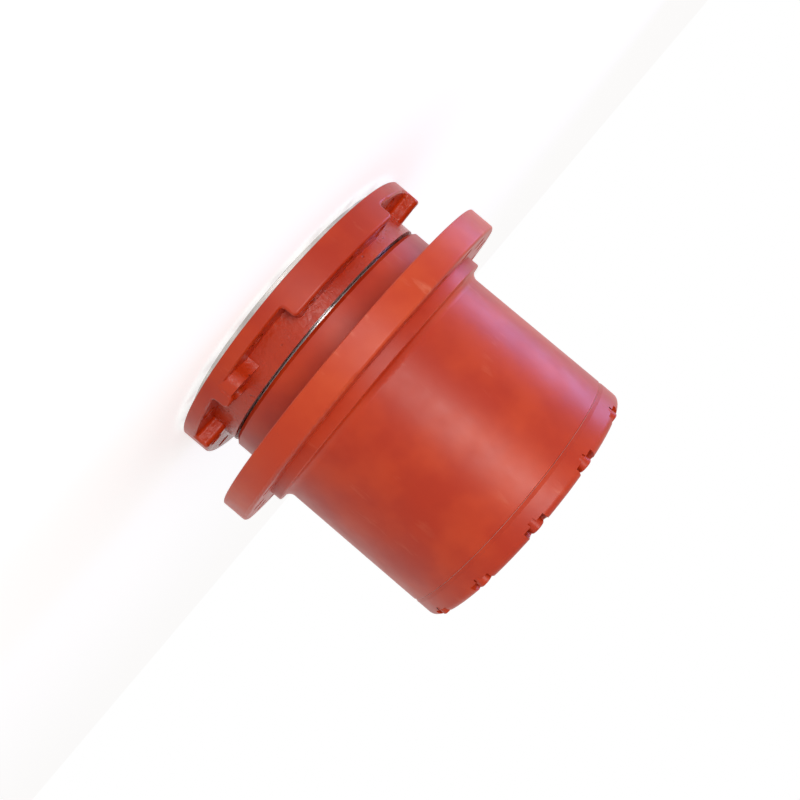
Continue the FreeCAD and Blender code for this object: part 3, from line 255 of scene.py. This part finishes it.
def smooth_range(tree, value, start, end, low=0.0, high=1.0):
    """A value stretched from one range to another, with soft ends."""
    node = add_node(tree, "ShaderNodeMapRange")
    node.interpolation_type = "SMOOTHSTEP"
    for name, number in (("From Min", start), ("From Max", end), ("To Min", low),
                         ("To Max", high)):
        node.inputs[name].default_value = number
    tree.links.new(value, node.inputs["Value"])
    return node.outputs[0]


def noise(tree, vector, scale, detail=3.0, rough=0.5):
    """The grey output of a Noise texture on a vector socket."""
    node = add_node(tree, "ShaderNodeTexNoise", Scale=scale, Detail=detail, Roughness=rough)
    tree.links.new(vector, node.inputs["Vector"])
    return node.outputs["Fac"]


def blend_colours(tree, share, first, second):
    """A Mix node for colours. A side may be a colour or another node's socket."""
    node = tree.nodes.new("ShaderNodeMix")
    node.data_type = "RGBA"
    for index, value in ((0, share), (6, first), (7, second)):
        if hasattr(value, "is_output"):
            tree.links.new(value, node.inputs[index])
        else:
            node.inputs[index].default_value = value
    return node.outputs[2]

# %% [markdown]
# ### Where a point lies on a round part
# Most marks on a turned part follow its height or its radius. This group measures both, and
# also unrolls the surface: a vector with the angle as a length, the radius and the height, on
# which streaks can be stretched round or along the part.

# %% Group: height, radius and the unrolled surface
UNROLL_RADIUS = 0.16

group, source, sink = new_group(
    "round_part_place",
    [],
    [("Height", "NodeSocketFloat"), ("Radius", "NodeSocketFloat"),
     ("Unrolled", "NodeSocketVector")],
)
place = group.nodes.new("ShaderNodeTexCoord")
parts = group.nodes.new("ShaderNodeSeparateXYZ")
group.links.new(place.outputs["Object"], parts.inputs[0])
x, y, z = parts.outputs
radius = maths(group, "SQRT", maths(group, "ADD", maths(group, "MULTIPLY", x, x),
                                    maths(group, "MULTIPLY", y, y)))
angle = maths(group, "ARCTAN2", x, maths(group, "MULTIPLY", y, -1.0))
length = maths(group, "MULTIPLY", angle, UNROLL_RADIUS)
unrolled = group.nodes.new("ShaderNodeCombineXYZ")
for index, value in enumerate((length, radius, z)):
    group.links.new(value, unrolled.inputs[index])
for index, value in enumerate((z, radius, unrolled.outputs[0])):
    group.links.new(value, sink.inputs[index])
place_group = group
print("group", group.name, [item.name for item in group.interface.items_tree])

# %% [markdown]
# ### Sprayed primer
# Primer isn't one flat red. It is thicker in some places than in others, it dries with a fine
# orange peel, and dust settles in it. The group blends two tones by a slow cloud and adds specks
# and long streaks. The streaks are glossier and raised, like runs of paint, and painted pale: a
# painted highlight that stands in for a wet sheen. The group gives a roughness and a bump height
# to go with them.

# %% Group: sprayed primer
SHEEN_STREAK_STRETCH = 0.22
# The pale colour of the streaks is a painted highlight, standing in for a wet sheen.
PAINTED_SHEEN_COLOUR = (0.78, 0.20, 0.10, 1)
SPECK_COLOUR = (0.12, 0.012, 0.004, 1)

group, source, sink = new_group(
    "sprayed_primer",
    [("Thick Colour", "NodeSocketColor", (0.55, 0.036, 0.004, 1)),
     ("Thin Colour", "NodeSocketColor", (0.62, 0.062, 0.01, 1)),
     ("Runs", "NodeSocketFloat", 0.3), ("Specks", "NodeSocketFloat", 0.5),
     ("Base Roughness", "NodeSocketFloat", 0.38)],
    [("Colour", "NodeSocketColor"), ("Roughness", "NodeSocketFloat"),
     ("Height", "NodeSocketFloat")],
)
where = group.nodes.new("ShaderNodeGroup")
where.node_tree = place_group
place = group.nodes.new("ShaderNodeTexCoord")
flat = where.outputs["Unrolled"]
cloud = smooth_range(group, noise(group, place.outputs["Object"], 14, 3, 0.55), 0.35, 0.7)
stretch = add_node(group, "ShaderNodeMapping", Scale=(1.0, 1.0, SHEEN_STREAK_STRETCH))
group.links.new(flat, stretch.inputs["Vector"])
sheen_run_shape = smooth_range(group, noise(group, stretch.outputs[0], 95, 4, 0.6), 0.56, 0.72)
sheen_run_place = smooth_range(group, noise(group, flat, 17, 2), 0.5, 0.66)
runs_and_sheen = maths(group, "MULTIPLY", maths(group, "MULTIPLY", sheen_run_shape, sheen_run_place),
             source.outputs["Runs"])
dots = add_node(group, "ShaderNodeTexVoronoi", Scale=330)
group.links.new(place.outputs["Object"], dots.inputs["Vector"])
dot_shape = smooth_range(group, dots.outputs["Distance"], 0.17, 0.06)
dot_place = smooth_range(group, noise(group, place.outputs["Object"], 60, 2), 0.55, 0.75)
specks = maths(group, "MULTIPLY", maths(group, "MULTIPLY", dot_shape, dot_place),
               source.outputs["Specks"])
colour = blend_colours(group, cloud, source.outputs["Thick Colour"],
                       source.outputs["Thin Colour"])
# Painted highlight: the streaks turn pale here; their lower roughness and raised height below are
# real.
colour = blend_colours(group, maths(group, "MULTIPLY", runs_and_sheen, 0.8), colour,
                       PAINTED_SHEEN_COLOUR)
colour = blend_colours(group, maths(group, "MULTIPLY", specks, 0.75), colour,
                       SPECK_COLOUR)
peel = noise(group, place.outputs["Object"], 520, 2)
patches = noise(group, place.outputs["Object"], 38, 4, 0.6)
rough = maths(group, "ADD", source.outputs["Base Roughness"],
              maths(group, "MULTIPLY", maths(group, "SUBTRACT", patches, 0.5), 0.22))
rough = maths(group, "SUBTRACT", rough, maths(group, "MULTIPLY", runs_and_sheen, 0.12), clamp=True)
height = maths(group, "MULTIPLY", peel, 0.35)
height = maths(group, "ADD", height, maths(group, "MULTIPLY", patches, 0.5))
height = maths(group, "ADD", height, maths(group, "MULTIPLY", runs_and_sheen, 0.9))
height = maths(group, "ADD", height, maths(group, "MULTIPLY", specks, 1.2))
group.links.new(colour, sink.inputs["Colour"])
group.links.new(rough, sink.inputs["Roughness"])
group.links.new(height, sink.inputs["Height"])
primer_group = group
print("group", group.name)

# %% [markdown]
# ### Sand-cast skin
# Faces that no tool has touched keep the grain of the sand mould, with a few pits. The group
# gives a height for a bump, and a mask of the pits, where paint collects and looks darker.

# %% Group: sand-cast skin
group, source, sink = new_group(
    "cast_skin",
    [("Grain Size", "NodeSocketFloat", 210.0)],
    [("Height", "NodeSocketFloat"), ("Pits", "NodeSocketFloat")],
)
place = group.nodes.new("ShaderNodeTexCoord")
grain = add_node(group, "ShaderNodeTexNoise", Detail=5.0, Roughness=0.62)
group.links.new(place.outputs["Object"], grain.inputs["Vector"])
group.links.new(source.outputs["Grain Size"], grain.inputs["Scale"])
lumps = noise(group, place.outputs["Object"], 55, 3)
cells = add_node(group, "ShaderNodeTexVoronoi", Scale=120)
group.links.new(place.outputs["Object"], cells.inputs["Vector"])
pits = smooth_range(group, cells.outputs["Distance"], 0.26, 0.08)
pits = maths(group, "MULTIPLY", pits, smooth_range(group, lumps, 0.5, 0.62))
height = maths(group, "ADD", maths(group, "MULTIPLY", grain.outputs["Fac"], 0.7),
               maths(group, "MULTIPLY", lumps, 1.1))
height = maths(group, "SUBTRACT", height, maths(group, "MULTIPLY", pits, 0.5))
group.links.new(height, sink.inputs["Height"])
group.links.new(pits, sink.inputs["Pits"])
cast_group = group
print("group", group.name)

# %% [markdown]
# ### Marks of the lathe and of handling
# A turned face carries fine rings, closer together than a millimetre. Bare steel also gets
# small scratches in every direction and a cloudy film of oil. Both are values for roughness
# and bump, so one group serves every kind of steel in the gearbox.

# %% Group: turned steel
FULL_TURN = 6.2832

group, source, sink = new_group(
    "turned_steel",
    [("Ring Scale", "NodeSocketFloat", 900.0), ("Base Roughness", "NodeSocketFloat", 0.28),
     ("Light Colour", "NodeSocketColor", (0.62, 0.61, 0.59, 1)),
     ("Dark Colour", "NodeSocketColor", (0.42, 0.41, 0.40, 1))],
    [("Colour", "NodeSocketColor"), ("Roughness", "NodeSocketFloat"),
     ("Height", "NodeSocketFloat")],
)
where = group.nodes.new("ShaderNodeGroup")
where.node_tree = place_group
place = group.nodes.new("ShaderNodeTexCoord")
cut = maths(group, "ADD", where.outputs["Height"], where.outputs["Radius"])
rings = maths(group, "MULTIPLY", cut, source.outputs["Ring Scale"])
rings = maths(group, "SINE", maths(group, "MULTIPLY", rings, FULL_TURN))
rings = maths(group, "ADD", rings, noise(group, place.outputs["Object"], 240, 2))
film = noise(group, place.outputs["Object"], 26, 4, 0.6)
hair = add_node(group, "ShaderNodeTexNoise", Scale=420.0, Detail=2.0, Distortion=2.5)
group.links.new(place.outputs["Object"], hair.inputs["Vector"])
scratches = smooth_range(group, hair.outputs["Fac"], 0.62, 0.7)
colour = blend_colours(group, smooth_range(group, film, 0.35, 0.7),
                       source.outputs["Light Colour"], source.outputs["Dark Colour"])
rough = maths(group, "ADD", source.outputs["Base Roughness"],
              maths(group, "MULTIPLY", maths(group, "SUBTRACT", film, 0.5), 0.3))
rough = maths(group, "ADD", rough, maths(group, "MULTIPLY", scratches, 0.08), clamp=True)
height = maths(group, "ADD", maths(group, "MULTIPLY", rings, 0.3),
               maths(group, "MULTIPLY", scratches, -0.5))
group.links.new(colour, sink.inputs["Colour"])
group.links.new(rough, sink.inputs["Roughness"])
group.links.new(height, sink.inputs["Height"])
steel_group = group
print("group", group.name)

# %% [markdown]
# ## The finishes
# Every finish is a Principled shader fed by the groups above. A helper starts one, and another
# turns a height into a normal, with the bump's depth in metres so that it stays in scale.

# %% Helpers for a finish
def new_finish(name, roughness=0.4, metallic=0.0, specular=0.5):
    """A material with a Principled shader, whose even values are set on its own sockets."""
    material = bpy.data.materials.new(name)
    material.use_nodes = True
    shader = material.node_tree.nodes["Principled BSDF"]
    shader.inputs["Roughness"].default_value = roughness
    shader.inputs["Metallic"].default_value = metallic
    shader.inputs["Specular IOR Level"].default_value = specular
    return material, material.node_tree, shader


def use_group(tree, group, **values):
    """A group in a tree, with its inputs set by name."""
    node = tree.nodes.new("ShaderNodeGroup")
    node.node_tree = group
    for name, value in values.items():
        node.inputs[name.replace("_", " ")].default_value = value
    return node


def raise_bump(tree, shader, height, depth, strength=1.0):
    """Turn a height into the shader's normal. The depth is in metres."""
    bump = tree.nodes.new("ShaderNodeBump")
    bump.inputs["Strength"].default_value = strength
    bump.inputs["Distance"].default_value = depth
    tree.links.new(height, bump.inputs["Height"])
    tree.links.new(bump.outputs[0], shader.inputs["Normal"])


def mix_numbers(tree, share, first, second):
    """A value between two others, either of which may be a plain number."""
    node = tree.nodes.new("ShaderNodeMix")
    for index, value in ((0, share), (2, first), (3, second)):
        if hasattr(value, "is_output"):
            tree.links.new(value, node.inputs[index])
        else:
            node.inputs[index].default_value = value
    return node.outputs[0]


def give(material, *names):
    """Put a finish on CAD pieces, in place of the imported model's flat colour."""
    for name in names:
        slots = nodes[name].data.materials
        for index in range(len(slots)):
            slots[index] = material
    print(material.name, "on", len(names), "pieces")

# %% [markdown]
# ### Primer over a casting, and bare metal where a tool has cut
# The three castings are sprayed after the gearbox is closed, so only what shows is red. What
# lies inside, and the faces that meet another machine, stay bare. One helper builds such a
# finish from two masks: where the paint lies, and where the skin under it is as cast.

# %% Helper: a primed casting
PIT_COLOUR = (0.13, 0.008, 0.002, 1)
CAST_RELIEF = 7.0
PAINT_DEPTH = 0.00012


def primed_casting(name, painted, as_cast, tones, runs_and_sheen, specks, roughness):
    """Primer where the first mask is 1, turned steel elsewhere, and a sandy skin under the
    primer where the second mask is 1. Each mask is a function of (tree, height, radius)."""
    material, tree, shader = new_finish(name, specular=0.4)
    where = use_group(tree, place_group)
    height, radius = where.outputs["Height"], where.outputs["Radius"]
    primer = use_group(tree, primer_group, Thick_Colour=tones[0], Thin_Colour=tones[1],
                       Runs=runs_and_sheen, Specks=specks, Base_Roughness=roughness)
    skin = use_group(tree, cast_group, Grain_Size=190.0)
    steel = use_group(tree, steel_group, Ring_Scale=700.0, Base_Roughness=0.3,
                      Light_Colour=(0.66, 0.64, 0.61, 1), Dark_Colour=(0.45, 0.43, 0.41, 1))
    paint = painted(tree, height, radius)
    sandy = as_cast(tree, height, radius)
    in_pits = maths(tree, "MULTIPLY", maths(tree, "MULTIPLY", skin.outputs["Pits"], sandy), 0.6)
    red = blend_colours(tree, in_pits, primer.outputs["Colour"], PIT_COLOUR)
    colour = blend_colours(tree, paint, steel.outputs["Colour"], red)
    rough = maths(tree, "ADD", primer.outputs["Roughness"], maths(tree, "MULTIPLY", sandy, -0.08))
    rough = mix_numbers(tree, paint, steel.outputs["Roughness"], rough)
    relief = maths(tree, "MULTIPLY", skin.outputs["Height"],
                   maths(tree, "MULTIPLY", sandy, CAST_RELIEF))
    relief = maths(tree, "ADD", primer.outputs["Height"], relief)
    relief = mix_numbers(tree, paint, maths(tree, "MULTIPLY", steel.outputs["Height"], 0.15),
                         relief)
    tree.links.new(colour, shader.inputs["Base Color"])
    tree.links.new(rough, shader.inputs["Roughness"])
    tree.links.new(maths(tree, "SUBTRACT", 1.0, paint), shader.inputs["Metallic"])
    raise_bump(tree, shader, relief, PAINT_DEPTH)
    return material

# %% [markdown]
# The spindle shows a machined rim, and behind it the cast pockets and the neck, which keep the
# sand's grain. Its spigot and the face that meets the track frame are bare.

# %% Finish of the spindle
DEEP_RED = (0.50, 0.030, 0.0035, 1)
WARM_RED = (0.60, 0.052, 0.008, 1)
SEAL_EDGE = (0.1472, 0.1476)
BARE_RING = (0.0084, 0.0090)
POCKET_FOOT = (0.0145, 0.0170)
RIM_SKIN = (0.0035, 0.0008)


def spindle_paint(tree, height, radius):
    """Outside the seal, and above the face that meets the frame."""
    outside = smooth_range(tree, radius, *SEAL_EDGE)
    above = smooth_range(tree, height, *(floor_height + step for step in BARE_RING))
    return maths(tree, "MULTIPLY", outside, above)


def spindle_cast(tree, height, radius):
    """Above the flange's solid rim and inside the rim's own surface."""
    above = smooth_range(tree, height, *POCKET_FOOT)
    inside = smooth_range(tree, radius, *(frame_rim - step for step in RIM_SKIN), 1.0, 0.0)
    return maths(tree, "MULTIPLY", above, inside)


spindle_primer = primed_casting("spindle_primer", spindle_paint, spindle_cast,
                                (DEEP_RED, WARM_RED), 0.5, 0.5, 0.36)
give(spindle_primer, "spindle")

# %% [markdown]
# The drum is turned all over outside. Its big rim got the thickest, most orange coat and the
# most streaks, glossy runs painted pale as a painted highlight; the body is smooth, with a few
# nicks.

# %% Finish of the drum
RIM_RED = (0.60, 0.046, 0.006, 1)
RIM_ORANGE = (0.68, 0.075, 0.013, 1)
CHAMBER_EDGE = (0.1486, 0.1490)
SEAM_BLUR = (0.0003, 0.0001)


def drum_paint(tree, height, radius):
    """Everything outside the drum's chambers, up to the seam."""
    outside = smooth_range(tree, radius, *CHAMBER_EDGE)
    below = smooth_range(tree, height, *(drum_top - step for step in SEAM_BLUR), 1.0, 0.0)
    return maths(tree, "MULTIPLY", outside, below)


def nowhere(tree, height, radius):
    """No part of the casting."""
    return 0.0


def add_rim_tone(material, from_radius):
    """Shift the primer towards orange beyond a radius, with the full share of pale streaks, a
    painted highlight.
    """
    tree = material.node_tree
    shader = tree.nodes["Principled BSDF"]
    old = shader.inputs["Base Color"].links[0].from_socket
    where = use_group(tree, place_group)
    share = smooth_range(tree, where.outputs["Radius"], from_radius - 0.0015, from_radius)
    coat = use_group(tree, primer_group, Thick_Colour=RIM_RED, Thin_Colour=RIM_ORANGE,
                     Runs=1.0, Specks=0.6)
    colour = blend_colours(tree, share, old, coat.outputs["Colour"])
    tree.links.new(colour, shader.inputs["Base Color"])


drum_primer = primed_casting("drum_primer", drum_paint, nowhere, (DEEP_RED, WARM_RED),
                             0.25, 0.35, 0.4)
add_rim_tone(drum_primer, sprocket_rim - 0.0005)
give(drum_primer, "drum")

# %% [markdown]
# The cover was sprayed together with its screws and plugs, so they share one red. The faces
# under the seam stay bare.

# %% Finish of the cover, its screws and its plugs
COVER_SEAM = (0.0001, 0.0004)
HEAD_FOOT = (0.0135, 0.0130)


def cover_paint(tree, height, radius):
    """Above the seam."""
    return smooth_range(tree, height, *(drum_top + step for step in COVER_SEAM))


def screw_paint(tree, height, radius):
    """The heads only."""
    return smooth_range(tree, height, *(cover_top - step for step in HEAD_FOOT))


cover_primer = primed_casting("cover_primer", cover_paint, nowhere, (DEEP_RED, WARM_RED),
                              0.3, 0.5, 0.38)
screw_primer = primed_casting("screw_primer", screw_paint, nowhere, (DEEP_RED, WARM_RED),
                              0.1, 0.8, 0.42)
give(cover_primer, "end_cover")
give(screw_primer, "cover_bolts", "plugs")

# %% [markdown]
# ### Steels, bronze, rubber and raw iron inside
# The pieces inside show when the drive is taken apart on the bench, so they get real finishes
# too: ground races, darker case-hardened gears, bronze bushes, black screws, matt rubber and
# carriers with the skin of the mould.

# %% Finishes of the steel pieces
def steel_finish(name, light, dark, ring_scale, roughness, depth):
    """Bare steel: turned rings, an oil film and small scratches."""
    material, tree, shader = new_finish(name, metallic=1.0)
    steel = use_group(tree, steel_group, Light_Colour=light, Dark_Colour=dark,
                      Ring_Scale=ring_scale, Base_Roughness=roughness)
    tree.links.new(steel.outputs["Colour"], shader.inputs["Base Color"])
    tree.links.new(steel.outputs["Roughness"], shader.inputs["Roughness"])
    raise_bump(tree, shader, steel.outputs["Height"], depth)
    return material


ground_steel = steel_finish("ground_steel", (0.68, 0.67, 0.65, 1), (0.50, 0.49, 0.48, 1),
                            1400.0, 0.2, 0.000015)
gear_steel = steel_finish("case_hardened_steel", (0.40, 0.39, 0.39, 1),
                          (0.22, 0.21, 0.22, 1), 600.0, 0.34, 0.00003)
bronze = steel_finish("bush_bronze", (0.72, 0.46, 0.20, 1), (0.52, 0.31, 0.12, 1),
                      900.0, 0.3, 0.00002)
black_oxide = steel_finish("black_oxide", (0.05, 0.05, 0.055, 1), (0.02, 0.02, 0.023, 1),
                           700.0, 0.42, 0.00002)

# %% [markdown]
# Nitrile rubber is nearly black and matt, with a grey bloom where it has aged. The carriers
# are iron as it left the mould, so they take the cast skin without any paint.

# %% Finishes of the rubber rings and the raw castings
nitrile, tree, shader = new_finish("nitrile_rubber", roughness=0.62)
bloom_place = tree.nodes.new("ShaderNodeTexCoord")
bloom = smooth_range(tree, noise(tree, bloom_place.outputs["Object"], 90, 4, 0.6), 0.4, 0.75)
tree.links.new(blend_colours(tree, bloom, (0.012, 0.012, 0.013, 1), (0.035, 0.034, 0.033, 1)),
               shader.inputs["Base Color"])
tree.links.new(mix_numbers(tree, bloom, 0.55, 0.75), shader.inputs["Roughness"])
raise_bump(tree, shader, bloom, 0.00004)

raw_iron, tree, shader = new_finish("raw_iron", metallic=0.6)
skin = use_group(tree, cast_group, Grain_Size=230.0)
tree.links.new(blend_colours(tree, skin.outputs["Pits"], (0.20, 0.19, 0.185, 1),
                             (0.07, 0.06, 0.055, 1)), shader.inputs["Base Color"])
tree.links.new(mix_numbers(tree, skin.outputs["Pits"], 0.5, 0.8), shader.inputs["Roughness"])
raise_bump(tree, shader, skin.outputs["Height"], 0.0006)

# %% [markdown]
# The record names a material slot for every piece. Going by that name gives each group its
# finish in one pass, and a new piece in the CAD model gets one too.

# %% Put the inner finishes on the pieces by their material slot
inner_finishes = {
    "machined_steel": ground_steel, "gear_steel": gear_steel, "bronze": bronze,
    "black_screw": black_oxide, "nitrile": nitrile, "cast_core": raw_iron,
}
by_slot = {}
for part in frame["record"]["subparts"]:
    by_slot.setdefault(part["material_slot"], []).append(part["node"])
for slot_name, material in inner_finishes.items():
    give(material, *by_slot[slot_name])
